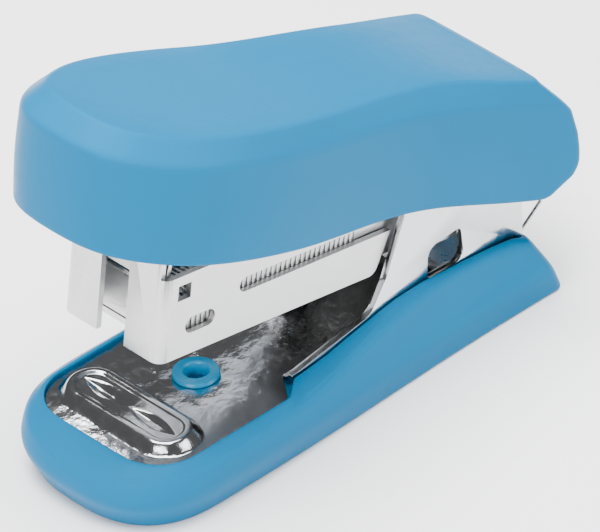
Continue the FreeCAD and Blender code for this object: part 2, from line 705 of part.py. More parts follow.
# ---------------------------------------------------------------- guide rod
rod = new_body("guide_rod")
sketch = new_sketch(rod, "YZ_Plane", rail_front - 0.5)
draw_circle(sketch, 0, rod_z, size("rod_radius"))
grow(rod, "Pad", sketch, -rail_front - 1.8)
sketch = new_sketch(rod, "YZ_Plane", as_size(-2.5))
draw_circle(sketch, 0, rod_z, size("rod_radius") + 0.7)
grow(rod, "Pad", sketch, 0.8)
raise_into_place(rod, "magazine")

# ---------------------------------------------------------------- staples
leg_half = inner_half - 0.05
staples = new_body("staple_strip")
crown_top = low + size("crown_height")
sketch = new_sketch(staples, "YZ_Plane", strip_front)
draw_polygon(sketch, [
    (-leg_half, low + 0.9), (-leg_half + size("staple_pitch"), low + 0.9),
    (-leg_half + size("staple_pitch"), crown_top - size("staple_wire")),
    (leg_half - size("staple_pitch"), crown_top - size("staple_wire")),
    (leg_half - size("staple_pitch"), low + 0.9), (leg_half, low + 0.9),
    (leg_half, crown_top), (-leg_half, crown_top)])
grow(staples, "Pad", sketch, strip_length)
raise_into_place(staples, "magazine")

# ---------------------------------------------------------------- pusher
pusher = new_body("pusher")
pusher_half = inner_half - 0.15
across_pad(pusher, [(pusher_front, low + 2.0), (pusher_rear, low + 2.0),
                    (pusher_rear, low + 8.0), (pusher_front, low + 8.0)], pusher_half * 2)
across_cut(pusher, [(pusher_front - 1, low + 1), (pusher_rear + 1, low + 1),
                    (pusher_rear + 1, rail_top + 0.15), (pusher_front - 1, rail_top + 0.15)],
           (rail_half + 0.15) * 2)
across_pad(pusher, [(pusher_front, low + 1.6), (pusher_front + 1.5, low + 1.6),
                    (pusher_front + 1.5, low + 7), (pusher_front, low + 7)], 2.8)
sketch = new_sketch(pusher, "YZ_Plane", pusher_front - 1)
draw_circle(sketch, 0, rod_z, size("rod_radius") + 0.1)
grow(pusher, "Pocket", sketch, size("pusher_length") + 2, reverse=True)
raise_into_place(pusher, "magazine")

# ---------------------------------------------------------------- pusher spring
spring_start = pusher_front.value + 1.5 + values["spring_wire"] / 2 + 0.05
spring_end = -3.2 - values["rail_sheet"] - values["spring_wire"] / 2 - 0.3
spring_turns = 9
pitch = (spring_end - spring_start) / spring_turns
coil = Part.makeHelix(pitch, spring_end - spring_start, values["spring_radius"])
section = Part.Wire([Part.Circle(FreeCAD.Vector(values["spring_radius"], 0, 0),
                                 FreeCAD.Vector(0, 1, 0), values["spring_wire"] / 2).toShape()])
spring = Part.Wire(coil.Edges).makePipeShell([section], True, True)
spring.rotate(FreeCAD.Vector(), Y_AXIS, 90)
spring.translate(FreeCAD.Vector(spring_start, 0, rod_z.value))
raise_into_place(free_piece("pusher_spring", spring), "magazine")

# ---------------------------------------------------------------- handle: lever and driver
BUSH_WALL = 0.7
lever_low = size("lever_rise")
lever_top = lever_low + size("lever_sheet")
arm_out = cheek_in - 0.1
arm_in = arm_out - size("lever_sheet")
driver_front = front + size("driver_setback")
lever = new_body("lever")
across_pad(lever, [(driver_front, lever_low), (4, lever_low), (4, lever_top),
                   (driver_front, lever_top)], arm_out * 2)
across_pad(lever, [(-12, lever_low + 0.1), (-2.4, -0.8), (2.4, -0.8), (4, lever_low + 0.1)],
           arm_out * 2)
across_disc(lever, 0, 0, 2.4, arm_out * 2)
across_cut(lever, [(-14, -4), (6, -4), (6, lever_low), (-14, lever_low)], arm_in * 2)
across_hole(lever, 0, 0, bore_radius, arm_out * 2 + 2)
raise_into_place(lever, "handle")

driver = new_body("driver_blade")
driver_rear = driver_front + size("driver_sheet")
driver_half = inner_half - 0.15
across_pad(driver, [(driver_front, low + 0.15), (driver_rear, low + 0.15),
                    (driver_rear, lever_low), (driver_front, lever_low)], driver_half * 2)
across_pad(driver, [(driver_front, lever_low - size("driver_sheet")),
                    (driver_front + 6, lever_low - size("driver_sheet")),
                    (driver_front + 6, lever_low), (driver_front, lever_low)], 8)
raise_into_place(driver, "handle")

ring("pivot_bush", size("pin_radius") + BUSH_WALL, bore_radius, -arm_in + 0.1,
     arm_in * 2 - 0.2, pivot_x, pivot_z)

rivets = new_body("driver_rivets")
for side in (-2.2, 2.2):
    plan_disc(rivets, driver_front + 4, side, 0.9, lever_top, 0.5)
raise_into_place(rivets, "handle")

# ---------------------------------------------------------------- handle spring on the bush
wire = 0.5
coil_radius = values["pin_radius"] + BUSH_WALL + wire / 2 + 0.15
coil_half = 1.4
turns = 4.5
lift = math.radians(values["handle_travel"])
low_tip = rail_top.value + wire / 2 + 0.02
high_tip = values["lever_rise"] / math.cos(lift) + 7.0 * math.tan(lift) - wire / 2 - 0.05
path = [(-4.6, -coil_half, low_tip), (-2.3, -coil_half, (low_tip - coil_radius) / 2)]
for step in range(int(turns * 12) + 1):
    turn = math.radians(step * 30)
    path.append((coil_radius * math.sin(turn),
                 coil_half * (2 * step / (turns * 12) - 1), -coil_radius * math.cos(turn)))
path.append((-3.5, coil_half, (high_tip + coil_radius) / 2))
path.append((-7.0, coil_half, high_tip))
curve = Part.BSplineCurve()
curve.interpolate([FreeCAD.Vector(*point) for point in path])
heading = curve.tangent(curve.FirstParameter)[0]
section = Part.Wire([Part.Circle(FreeCAD.Vector(*path[0]), heading, wire / 2).toShape()])
spring = Part.Wire([curve.toShape()]).makePipeShell([section], True, False)
handle_spring = free_piece("handle_spring", spring)
raise_into_place(handle_spring, "magazine")

# ---------------------------------------------------------------- magazine spring on the plate
leaf, leaf_width = 0.3, 12.0
leaf_rear = pivot_x - 0.3
leaf_root = pivot_x - 7.0
leaf_tip = pivot_x - 17.0
# the leaf's tip follows the rail's underside as the magazine's tilt is changed
leaf_tip_low = pivot_z - size("magazine_drop") + size("magazine_tilt") * 0.27 + 0.58
rivet_hole, rivet_shank, rivet_head, rivet_cap = 0.95, 0.9, 1.8, 0.6
magazine_spring = new_body("magazine_spring")
across_pad(magazine_spring, [
    (leaf_rear, plate_top), (leaf_root, plate_top), (leaf_tip + 1.4, leaf_tip_low - leaf),
    (leaf_tip, leaf_tip_low - leaf - 0.2), (leaf_tip, leaf_tip_low - 0.2),
    (leaf_tip + 1.4, leaf_tip_low), (leaf_root + 0.1, plate_top + leaf),
    (leaf_rear, plate_top + leaf)], leaf_width)
rivet_x = pivot_x - 3.6
plan_hole(magazine_spring, rivet_x, 0, rivet_hole, plate_top + 1, 2)
spring_rivet = new_body("spring_rivet")
plan_disc(spring_rivet, rivet_x, 0, rivet_head, plate_top + leaf, rivet_cap)
plan_disc(spring_rivet, rivet_x, 0, rivet_shank, deck_low, plate_top + leaf - deck_low)
plan_disc(spring_rivet, rivet_x, 0, rivet_head, deck_low - rivet_cap, rivet_cap)
plan_hole(base_plate, rivet_x, 0, rivet_hole, plate_top + 1, size("sheet_plate") + 2)
foot_shell.Shape = foot_shell.Shape.cut(Part.makeCylinder(
    rivet_hole, 20, FreeCAD.Vector(rivet_x.value, 0, 0), Z_AXIS))


# ---------------------------------------------------------------- bent wire behind the uprights
def wire_tube(points, radius):
    """Round wire along straight runs; every corner is closed by a ball."""
    solid = None
    for start, finish in zip(points[:-1], points[1:]):
        start, finish = FreeCAD.Vector(*start), FreeCAD.Vector(*finish)
        run = Part.makeCylinder(radius, (finish - start).Length, start, finish - start)
        run = run.fuse(Part.makeSphere(radius, finish))
        solid = run if solid is None else solid.fuse(run)
    return solid.removeSplitter()


rear_wire_radius = 0.2
wire_y = upright_in.value - rear_wire_radius - 0.05
wire_z = plate_top.value + rear_wire_radius + 0.01
bar_x = leaf_rear.value + 0.8
bend_x = upright_rear.value + 0.5
rise_x, rise_z = 3.3, 2.5
rear_wire = wire_tube([
    (bend_x + rise_x, -wire_y, wire_z + rise_z), (bend_x, -wire_y, wire_z),
    (bar_x, -wire_y, wire_z), (bar_x, wire_y, wire_z), (bend_x, wire_y, wire_z),
    (bend_x + rise_x, wire_y, wire_z + rise_z)], rear_wire_radius)
free_piece("rear_wire", rear_wire)
for side in (-1, 1):
    notch = Part.makeBox(4, 0.8, 6, FreeCAD.Vector(
        upright_rear.value - 0.5, side * wire_y - 0.4, plate_low.value))
    foot_shell.Shape = foot_shell.Shape.cut(notch)

# ---------------------------------------------------------------- cover
reach, broad = values["cover_reach"], values["cover_broad"]
waist, rear_half = values["cover_waist"], values["cover_rear_half"]
waist_x = -15.5
COVER_HALF = [
    (-reach, 0.0), (-reach + 1.2, broad * 0.5), (-reach + 5.7, broad * 0.82),
    (-reach + 17.2, broad), (waist_x - 12.0, (broad + waist) / 2 - 0.1), (waist_x, waist),
    (waist_x + 11.0, (waist + rear_half) / 2 - 0.2), (4.0, rear_half - 0.2), (12.0, rear_half + 0.4)]
TAIL_POINTS = 2


def cover_outline(shift, distance, tail_distance):
    """The cover's outline moved forward and in, with its own inset beside the tail."""
    body_part = inset(COVER_HALF, distance)
    tail_part = inset(COVER_HALF, tail_distance)
    mixed = body_part[:-TAIL_POINTS] + tail_part[-TAIL_POINTS:]
    return [(x - shift, y) for x, y in mixed]


drop, sweep = values["cover_drop"], values["cover_sweep"]
bevel, shell = values["cover_bevel"], values["cover_wall"]
wall_z = values["cover_wall_height"] - drop
roof_z = values["cover_height"] - drop
back = values["cover_rear"]
BACK_ROUND = 4.3


def cover_side(margin, top):
    """Side profile of the cover's back, rounded below; a margin makes the inner one."""
    points = [(-80.0, -drop - margin * 0.1), (back - BACK_ROUND - margin, -drop - margin * 0.1)]
    for degrees in (25, 50, 75):
        turn = math.radians(degrees)
        points.append((back - BACK_ROUND + (BACK_ROUND - margin) * math.sin(turn),
                       -drop + BACK_ROUND - (BACK_ROUND - margin) * math.cos(turn)))
    points.append((back - margin, -drop + 4.2))
    points.append((back - 2.2 - margin, wall_z - 1.4))
    points.append((back - 4.0 - margin, wall_z))
    points.append((back - 8.2 - margin, top))
    points.append((-80.0, top))
    return points


# the back is open between the uprights, so the cover can swing up for loading
SLOT_HALF = upright_out.value + 0.35
outer = Part.makeLoft([
    smooth_wire(cover_outline(0, 0, 0), -drop),
    smooth_wire(cover_outline(sweep, 0.3, 0.3), wall_z),
    smooth_wire(cover_outline(sweep - 0.3, 0.3 + bevel, 1.2), roof_z)], True, True)
outer = outer.common(side_prism(cover_side(0.0, roof_z), 20))
ceiling = roof_z - values["cover_roof"]
inner = Part.makeLoft([
    smooth_wire(cover_outline(0, shell, shell), -drop - 0.2),
    smooth_wire(cover_outline(sweep, 0.3 + shell, 0.3 + shell), wall_z - 0.4),
    smooth_wire(cover_outline(sweep - 0.2, bevel + shell, 1.2 + shell), ceiling)], True, True)
inner = inner.common(side_prism(cover_side(shell, ceiling), 20))
back_slot = Part.makeBox(back + 1, 2 * SLOT_HALF, drop + wall_z + 0.6,
                         FreeCAD.Vector(0.5, -SLOT_HALF, -drop - 1))
cover = outer.cut(inner).cut(back_slot)

SCREWS = (-36.0, -16.0)
BOSS, PILOT, SCREW, SCREW_HEAD = 2.2, 0.8, 0.75, 1.7
lean = math.radians(raised["cover"].value - raised["handle"].value)


def lever_to_cover(x, z):
    """A point of the handle's frame in the cover's, which is tilted a little more."""
    return (x * math.cos(lean) - z * math.sin(lean), x * math.sin(lean) + z * math.cos(lean))


for x in SCREWS:
    foot_x, foot_z = lever_to_cover(x, lever_top.value)
    slope = FreeCAD.Vector(-math.sin(lean), 0, math.cos(lean))
    base_point = FreeCAD.Vector(foot_x, 0, foot_z)
    boss = Part.makeCylinder(BOSS, 12, base_point, slope)
    boss = boss.common(inner)
    pilot = Part.makeCylinder(PILOT, 2.6, base_point, slope)
    cover = cover.fuse(boss).cut(pilot)
top_cover = free_piece("top_cover", cover)
raise_into_place(top_cover, "cover")

# ---------------------------------------------------------------- screws that hold the cover
for x in SCREWS:
    plan_hole(lever, as_size(x), 0, SCREW + 0.1, lever_top + 1, 4)
screws = new_body("cover_screws")
for x in SCREWS:
    plan_disc(screws, as_size(x), 0, SCREW, lever_low - 0.1, size("lever_sheet") + 2.2)
    plan_disc(screws, as_size(x), 0, SCREW_HEAD, lever_low - 0.8, 0.8)
raise_into_place(screws, "handle")

# ---------------------------------------------------------------- check and write
doc.recompute()
NODES = ["foot", "base_plate", "plate_eyelet", "pivot_pin", "pin_clip", "magazine_spring",
         "spring_rivet", "rear_wire", "magazine", "staple_rail", "guide_rod", "staple_strip",
         "pusher_spring", "handle_spring", "pusher", "top_cover", "lever", "driver_blade",
         "driver_rivets", "cover_screws", "pivot_bush"]
for item in doc.Objects:
    if "Invalid" in item.State or "Error" in item.State:
        raise RuntimeError("%s failed: %s" % (item.Name, item.State))
os.makedirs("parts", exist_ok=True)
for label in NODES:
    piece = doc.getObjectsByLabel(label)[0]
    if piece.Shape.isNull() or not piece.Shape.isValid():
        raise RuntimeError("%s has no valid shape" % label)
    piece.Shape.exportStep("parts/%s.step" % label)
    box = piece.Shape.BoundBox
    print("%-16s solids %d volume %9.3f  x %.2f..%.2f y %.2f..%.2f z %.2f..%.2f" % (
        label, len(piece.Shape.Solids), piece.Shape.Volume,
        box.XMin, box.XMax, box.YMin, box.YMax, box.ZMin, box.ZMax))
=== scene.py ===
"""A mini stapler, built up from its foot to its cover, on a pale table in soft light."""
import json
import math

import bmesh
import bpy
import numpy as np
from mathutils import Matrix, Vector


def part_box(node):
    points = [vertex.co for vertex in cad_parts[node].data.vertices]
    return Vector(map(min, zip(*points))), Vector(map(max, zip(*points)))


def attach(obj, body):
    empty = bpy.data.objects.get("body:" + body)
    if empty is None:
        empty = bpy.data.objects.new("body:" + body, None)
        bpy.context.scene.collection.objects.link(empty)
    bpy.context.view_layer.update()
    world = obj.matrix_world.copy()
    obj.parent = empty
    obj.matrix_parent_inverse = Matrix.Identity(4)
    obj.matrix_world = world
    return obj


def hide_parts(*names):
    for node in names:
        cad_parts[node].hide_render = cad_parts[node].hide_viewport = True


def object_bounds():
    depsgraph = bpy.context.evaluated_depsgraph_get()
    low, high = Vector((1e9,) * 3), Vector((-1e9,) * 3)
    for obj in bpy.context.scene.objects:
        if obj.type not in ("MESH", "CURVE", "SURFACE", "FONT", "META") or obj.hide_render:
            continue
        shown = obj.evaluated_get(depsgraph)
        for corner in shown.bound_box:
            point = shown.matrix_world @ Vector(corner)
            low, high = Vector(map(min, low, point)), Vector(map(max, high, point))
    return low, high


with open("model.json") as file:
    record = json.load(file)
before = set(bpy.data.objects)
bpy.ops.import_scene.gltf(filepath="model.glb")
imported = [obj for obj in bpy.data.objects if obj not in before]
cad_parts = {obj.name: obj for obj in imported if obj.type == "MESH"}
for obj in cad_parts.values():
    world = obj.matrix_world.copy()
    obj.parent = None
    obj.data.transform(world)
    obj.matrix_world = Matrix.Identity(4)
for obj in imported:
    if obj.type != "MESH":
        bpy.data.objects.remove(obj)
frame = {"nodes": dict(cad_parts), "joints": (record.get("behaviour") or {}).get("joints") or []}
cad_low, cad_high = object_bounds()
nodes = frame["nodes"]

# ------------------------------------------------------------------ foot
# The foot is one hollow moulding in satin blue plastic. Its outline is full at the nose and
# slimmer at the tail, with a soft belt low on the wall and a rim that the base plate sits in.
MM = 0.001
plate_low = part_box("base_plate")[0] / MM
FOOT_END = 30.7
RIB_THICK, RIB_WIDTH = 1.6, 20.0
FOOT_HALF, FOOT_TAIL_HALF = 11.2, 10.4
NOSE_LENGTH, NOSE_SQUARE = 11.0, 2.6
PLATE_HALF, PLATE_CORNER = 10.1, 5.2
FOOT_TAIL = [(-1.0, FOOT_END + 0.2), (0.3, FOOT_END + 0.1), (2.1, 30.1), (5.0, 28.7), (6.2, 28.0),
             (7.6, 26.95), (12.0, 26.95)]
CREASE_LINE = [(-40, 6.2), (-14, 6.25), (-8, 6.5), (-3, 7.3), (2, 8.3), (7, 8.95), (12, 9.2),
               (17, 9.0), (21, 8.6), (25, 7.8), (28, 7.0)]
LIP_LINE = [(-40, 7.35), (-10, 7.35), (-6, 7.5), (-2, 7.9), (2, 8.7), (5.4, 9.35), (8, 9.75),
            (12, 9.85), (17, 9.4), (22, 8.9), (25, 8.4), (28, 7.2)]


def between(table, place):
    """Value at a place along a line of (place, value) pairs."""
    places, levels = zip(*table)
    return float(np.interp(place, places, levels))


def eased(share):
    """Smooth step from 0 to 1."""
    share = min(max(share, 0.0), 1.0)
    return share * share * (3 - 2 * share)


def smooth_through(half):
    """Natural cubic spline from nose to tail through half an outline, mirrored for its start.

    Returns a function of the share of its length that gives a point and a unit direction."""
    points = np.array([(x, -y) for x, y in half[:0:-1]] + list(half))
    steps = np.hypot(*np.diff(points, axis=0).T)
    knots = np.concatenate([[0], np.cumsum(steps)])
    count = len(points)
    system = np.zeros((count, count))
    pull = np.zeros((count, 2))
    system[0, :2] = 2, 1
    system[-1, -2:] = 1, 2
    pull[0] = 3 * (points[1] - points[0]) / steps[0]
    pull[-1] = 3 * (points[-1] - points[-2]) / steps[-1]
    for i in range(1, count - 1):
        before, after = steps[i - 1], steps[i]
        system[i, i - 1:i + 2] = after, 2 * (before + after), before
        pull[i] = 3 * (before * (points[i + 1] - points[i]) / after
                       + after * (points[i] - points[i - 1]) / before)
    slopes = np.linalg.solve(system, pull)
    nose = knots[len(half) - 1]

    def at(share):
        where = nose + share * (knots[-1] - nose)
        i = min(int(np.searchsorted(knots, where, side="right")) - 1, count - 2)
        step, u = steps[i], (where - knots[i]) / steps[i]
        a, b = points[i], points[i + 1]
        da, db = slopes[i] * step, slopes[i + 1] * step
        point = ((2 * u**3 - 3 * u**2 + 1) * a + (u**3 - 2 * u**2 + u) * da
                 + (3 * u**2 - 2 * u**3) * b + (u**3 - u**2) * db)
        heading = (6 * u**2 - 6 * u) * (a - b) + (3 * u**2 - 4 * u + 1) * da + (3 * u**2 - 2 * u) * db
        return point, heading / np.hypot(*heading)

    return at


def softened(corners, bends, steps=6):
    """Rounds the corners of a line, whatever its number of measures, each by its own reach."""
    corners = [np.array(corner, float) for corner in corners]
    line = [corners[0]]
    for before, corner, after, bend in zip(corners, corners[1:], corners[2:], bends):
        to_start, to_end = before - corner, after - corner
        start = corner + to_start * min(bend / np.linalg.norm(to_start), 0.48)
        end = corner + to_end * min(bend / np.linalg.norm(to_end), 0.48)
        for step in range(steps + 1):
            u = step / steps
            line.append((1 - u)**2 * start + 2 * u * (1 - u) * corner + u**2 * end)
    line.append(corners[-1])
    return line


def half_ring(at, move, tail_x, corner, sides, rear):
    """Half a closed outline: along the side, round the rear corner, then in to the middle."""
    low_share, high_share = 0.5, 1.0
    for _ in range(30):
        middle = (low_share + high_share) / 2
        if move(*at(middle))[0] < tail_x - corner:
            low_share = middle
        else:
            high_share = middle
    side = [move(*at(low_share * step / sides)) for step in range(sides + 1)]
    side[0] = (side[0][0], 0.0)
    end = side[-1][1]
    turn = [(tail_x - corner + corner * math.sin(angle), end - corner + corner * math.cos(angle))
            for angle in (math.radians(18 * step) for step in range(1, 6))]
    line = [(tail_x, (end - corner) * (1 - step / rear)) for step in range(1, rear + 1)]
    return side + turn + line


def skinned(rings):
    """Half a shell, each ring drawn out from the last, mirrored into a whole and closed."""
    bm = bmesh.new()
    verts = [bm.verts.new(point) for point in rings[0]]
    edges = [bm.edges.new(pair) for pair in zip(verts, verts[1:])]
    for ring in rings[1:]:
        made = bmesh.ops.extrude_edge_only(bm, edges=edges)["geom"]
        fresh = {item for item in made if isinstance(item, bmesh.types.BMVert)}
        moved = []
        for vert, point in zip(verts, ring):
            out = next(edge.other_vert(vert) for edge in vert.link_edges
                       if edge.other_vert(vert) in fresh)
            out.co = point
            moved.append(out)
        verts = moved
        edges = [item for item in made if isinstance(item, bmesh.types.BMEdge)
                 and item.verts[0] in fresh and item.verts[1] in fresh]
    everything = bm.verts[:] + bm.edges[:] + bm.faces[:]
    bmesh.ops.mirror(bm, geom=everything, axis="Y", merge_dist=0.002)
    bmesh.ops.remove_doubles(bm, verts=bm.verts, dist=0.002)
    bmesh.ops.dissolve_degenerate(bm, edges=bm.edges, dist=0.001)
    bmesh.ops.recalc_face_normals(bm, faces=bm.faces)
    return bm


def finished(name, bm, material, body, slot, *replaced, place=None, crease=35):
    """Turns a mesh drawn in millimetres into a piece in its place, riding on its body."""
    bm.transform((place or Matrix()) @ Matrix.Scale(MM, 4))
    mesh = bpy.data.meshes.new(name)
    bm.to_mesh(mesh)
    bm.free()
    mesh.materials.append(material)
    mesh.shade_smooth()
    mesh.set_sharp_from_angle(angle=math.radians(crease))
    piece = bpy.data.objects.new(name, mesh)
    bpy.context.scene.collection.objects.link(piece)
    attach(piece, body)
    if replaced:
        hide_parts(*replaced)
    return piece


def new_material(name, color, metallic, roughness):
    """A Principled material with one colour, metalness and roughness to start from."""
    material = bpy.data.materials.new(name)
    material.use_nodes = True
    shader = material.node_tree.nodes["Principled BSDF"]
    shader.inputs["Base Color"].default_value = (*color, 1)
    shader.inputs["Metallic"].default_value = metallic
    shader.inputs["Roughness"].default_value = roughness
    return material


def grained(material, scale, low, high, socket=None, detail=4.0, stretch=(1, 1, 1)):
    """Noise over the piece as a value from low to high, sent to the shader's socket if one is named."""
    tree = material.node_tree
    shader = tree.nodes["Principled BSDF"]
    coordinates = tree.nodes.new("ShaderNodeTexCoord")
    mapping = tree.nodes.new("ShaderNodeMapping")
    mapping.inputs["Scale"].default_value = stretch
    noise = tree.nodes.new("ShaderNodeTexNoise")
    noise.inputs["Scale"].default_value = scale
    noise.inputs["Detail"].default_value = detail
    spread = tree.nodes.new("ShaderNodeMapRange")
    spread.inputs["From Min"].default_value = 0.3
    spread.inputs["From Max"].default_value = 0.7
    spread.inputs["To Min"].default_value = low
    spread.inputs["To Max"].default_value = high
    tree.links.new(coordinates.outputs["Object"], mapping.inputs["Vector"])
    tree.links.new(mapping.outputs["Vector"], noise.inputs["Vector"])
    tree.links.new(noise.outputs["Fac"], spread.inputs["Value"])
    if socket:
        tree.links.new(spread.outputs["Result"], shader.inputs[socket])
    return spread.outputs["Result"]


def tinted(material, factor, first, second):
    """Colour between two tints, led by a factor from the noise."""
    tree = material.node_tree
    ramp = tree.nodes.new("ShaderNodeMix")
    ramp.data_type = "RGBA"
    ramp.inputs["A"].default_value = (*first, 1)
    ramp.inputs["B"].default_value = (*second, 1)
    tree.links.new(factor, ramp.inputs["Factor"])
    tree.links.new(ramp.outputs["Result"], tree.nodes["Principled BSDF"].inputs["Base Color"])


def bumped(material, height, strength, distance):
    """Bump from a height, with the distance in metres."""
    tree = material.node_tree
    bump = tree.nodes.new("ShaderNodeBump")
    bump.inputs["Strength"].default_value = strength
    bump.inputs["Distance"].default_value = distance
    tree.links.new(height, bump.inputs["Height"])
    tree.links.new(bump.outputs["Normal"], tree.nodes["Principled BSDF"].inputs["Normal"])


blue_plastic = new_material("moulded_blue", (0.0, 0.125, 0.27), 0.0, 0.34)
blue_shader = blue_plastic.node_tree.nodes["Principled BSDF"]
blue_shader.inputs["IOR"].default_value = 1.2
blue_shader.inputs["Specular IOR Level"].default_value = 0.3
blue_shader.inputs["Specular Tint"].default_value = (0.15, 0.65, 1.0, 1)
tinted(blue_plastic, grained(blue_plastic, 90, 0.0, 1.0), (0.0, 0.122, 0.265), (0.0, 0.128, 0.275))
grained(blue_plastic, 700, 0.30, 0.38, "Roughness")
bumped(blue_plastic, grained(blue_plastic, 2600, 0.0, 1.0), 0.12, 0.00002)


def as_drawn(point, heading):
    """Leaves a point of an outline where it is."""
    return tuple(point)


def foot_outline(nose_out, side_out, tail_out):
    """Half outline: a squared quarter ellipse at the nose, then a slow taper to the tail."""
    half, tail = FOOT_HALF + side_out, FOOT_TAIL_HALF + tail_out
    nose, length = -FOOT_END - nose_out, NOSE_LENGTH + nose_out
    points = [(nose + length * (1 - math.cos(turn)**(2 / NOSE_SQUARE)),
               half * math.sin(turn)**(2 / NOSE_SQUARE))
              for turn in (math.radians(angle) for angle in (0, 8, 25, 45, 65, 82))]
    points.append((nose + length, half))
    return points + [(-3.0, (half + tail) / 2 + 0.2), (14.0, tail), (FOOT_END + 4, tail)]


def seat_at(outward):
    """The seat of the base plate: square across the nose, round at its corners, slim behind."""
    half, slim = PLATE_HALF + 0.1 + outward, 8.25 + outward
    radius = PLATE_CORNER + 0.1 + outward
    front = plate_low.x - 0.1 - outward
    corners = [(front, 0.0), (front, half - radius)]
    corners += [(front + radius * (1 - math.cos(turn)), half - radius * (1 - math.sin(turn)))
                for turn in (math.radians(7.5 * step) for step in range(1, 12))]
    corners += [(front + radius, half), (-9.2, half), (-6.7, slim), (FOOT_END + 4, slim)]
    corners = np.array(corners)
    run = np.concatenate([[0], np.cumsum(np.hypot(*np.diff(corners, axis=0).T))])

    def at(share):
        where = share * run[-1]
        point = np.array([np.interp(where, run, corners[:, 0]), np.interp(where, run, corners[:, 1])])
        return point, np.array([1.0, 0.0])

    return at


def to_spine(ring, steps, front, back):
    """Rings that close an outline down onto its middle line, level with the last ring."""
    made = []
    for step in range(1, steps + 1):
        share = step / steps
        made.append([(x + (min(max(x, front), back) - x) * share, y * (1 - share), z)
                     for x, y, z in ring])
    return made


DECK_TOP, DECK_UNDER, TAIL_WALL = plate_low.z - 0.05, plate_low.z - 1.4, 1.6
SIDES, REAR = 110, 24
# each row: how far it stands out at the nose, the sides and the tail, and its height
foot_wall = softened(
    [(-1.0, -1.0, -1.2, DECK_UNDER), (-0.7, -0.7, -1.2, DECK_UNDER), (-1.5, -1.5, -1.5, 0.0),
     (-0.2, -0.2, 0.0, 0.0), (1.65, 1.1, 0.3, 3.7), (0.5, 0.9, -0.95, 6.3)],
    [0.1, 0.15, 0.6, 1.3], steps=7)
foot_rings = []
for nose_out, side_out, tail_out, height in foot_wall[:-1]:
    outline = smooth_through(foot_outline(nose_out, side_out, tail_out))
    tail = between(FOOT_TAIL, height) - (TAIL_WALL if side_out < -0.4 else 0)
    ring = half_ring(outline, as_drawn, tail, 1.2, SIDES, REAR)
    foot_rings.append([(x, y, height) for x, y in ring])
foot_rings = to_spine(foot_rings[0], 8, -20.0, 20.0)[::-1] + foot_rings


def upper_ring(outline, heights, tail, corner=1.0, drop=0.0):
    """One ring of the foot's upper part, whose height changes along the foot."""
    ring = half_ring(outline, as_drawn, tail, corner, SIDES, REAR)
    return [(x, y, between(heights, x) - drop) for x, y in ring]


belt = foot_rings[-1]
crease = upper_ring(smooth_through(foot_outline(0.5, 0.9, -0.95)), CREASE_LINE, 27.6, 1.2)
lip_out = upper_ring(seat_at(0.45), LIP_LINE, 27.4, drop=0.05)
lip_in = upper_ring(seat_at(0.0), LIP_LINE, 27.1)
seat_edge = [(x, y, DECK_TOP) for x, y, z in lip_in]
stack = [belt, crease, lip_out, lip_in, seat_edge]
columns = [softened([ring[i] for ring in stack], [1.0, 0.5, 0.2], steps=7)
           for i in range(len(belt))]
foot_rings += [[tuple(column[k]) for column in columns] for k in range(1, len(columns[0]))]
foot_rings += to_spine(foot_rings[-1], 8, -18.0, 18.0)
foot_mesh = skinned(foot_rings)
rib = bmesh.ops.create_cube(foot_mesh, size=1.0)["verts"]
bmesh.ops.scale(foot_mesh, verts=rib, vec=(RIB_THICK, RIB_WIDTH, DECK_UNDER + 0.1))
bmesh.ops.translate(foot_mesh, verts=rib, vec=(0, 0, (DECK_UNDER + 0.1) / 2))
finished("foot_moulding", foot_mesh, blue_plastic, "base", "blue_plastic", "foot")

# ------------------------------------------------------------------ base plate
# The base plate is pressed from one bright nickel-plated sheet: a flat nose with the anvil
# raised in it, and two flanges bent up into the uprights that carry the pivot pin. Its floor is
# a little uneven from the press, and its uprights are smooth.
hinge = next(joint for joint in frame["joints"] if joint["name"] == "magazine_hinge")
pivot = Vector(hinge["pos_m"]) / MM
PLATE_TOP, SHEET = plate_low.z + 0.8, 0.8
UPRIGHT_IN, UPRIGHT_OUT = 7.3, 8.1
BEND = 0.7
PIN_HOLE, EAR = 1.55, 2.4
FLANGE_START, FLANGE_REAR = -6.8, pivot.x + EAR


def sheet_blank(bm, corners, depth, holes=()):
    """A flat sheet cut to an outline, with holes, drawn in a plane and given its thickness."""
    edges = []
    for loop in (corners, *holes):
        verts = [bm.verts.new(point) for point in loop]
        edges += [bm.edges.new(pair) for pair in zip(verts, verts[1:] + verts[:1])]
    faces = bmesh.ops.triangle_fill(bm, edges=edges, use_beauty=True, use_dissolve=True)["geom"]
    faces = [item for item in faces if isinstance(item, bmesh.types.BMFace)]
    made = bmesh.ops.extrude_face_region(bm, geom=faces)["geom"]
    moved = [item for item in made if isinstance(item, bmesh.types.BMVert)]
    bmesh.ops.translate(bm, verts=moved, vec=depth)


def rounded_loop(corners, radii, steps=6):
    """Closed outline with each corner rounded by its own radius, as points in a plane."""
    loop = []
    count = len(corners)
    for i, (corner, radius) in enumerate(zip(corners, radii)):
        corner = Vector(corner)
        before, after = Vector(corners[i - 1]) - corner, Vector(corners[(i + 1) % count]) - corner
        half = before.angle(after) / 2
        reach = radius / math.tan(half)
        if radius < 0.01:
            loop.append(corner)
            continue
        centre = corner + (before.normalized() + after.normalized()).normalized() * radius / math.sin(half)
        first = corner + before.normalized() * reach - centre
        last = corner + after.normalized() * reach - centre
        for step in range(steps + 1):
            loop.append(centre + first.slerp(last, step / steps) * radius)
    return loop


def eased_edges(bm, width, segments=2, angle=40):
    """Breaks the sharp edges of a pressed or moulded piece."""
    sharp = [edge for edge in bm.edges
             if len(edge.link_faces) == 2 and edge.calc_face_angle(0) > math.radians(angle)]
    bmesh.ops.bevel(bm, geom=sharp, offset=width, affect="EDGES", segments=segments,
                    profile=0.5, material=-1, clamp_overlap=True)


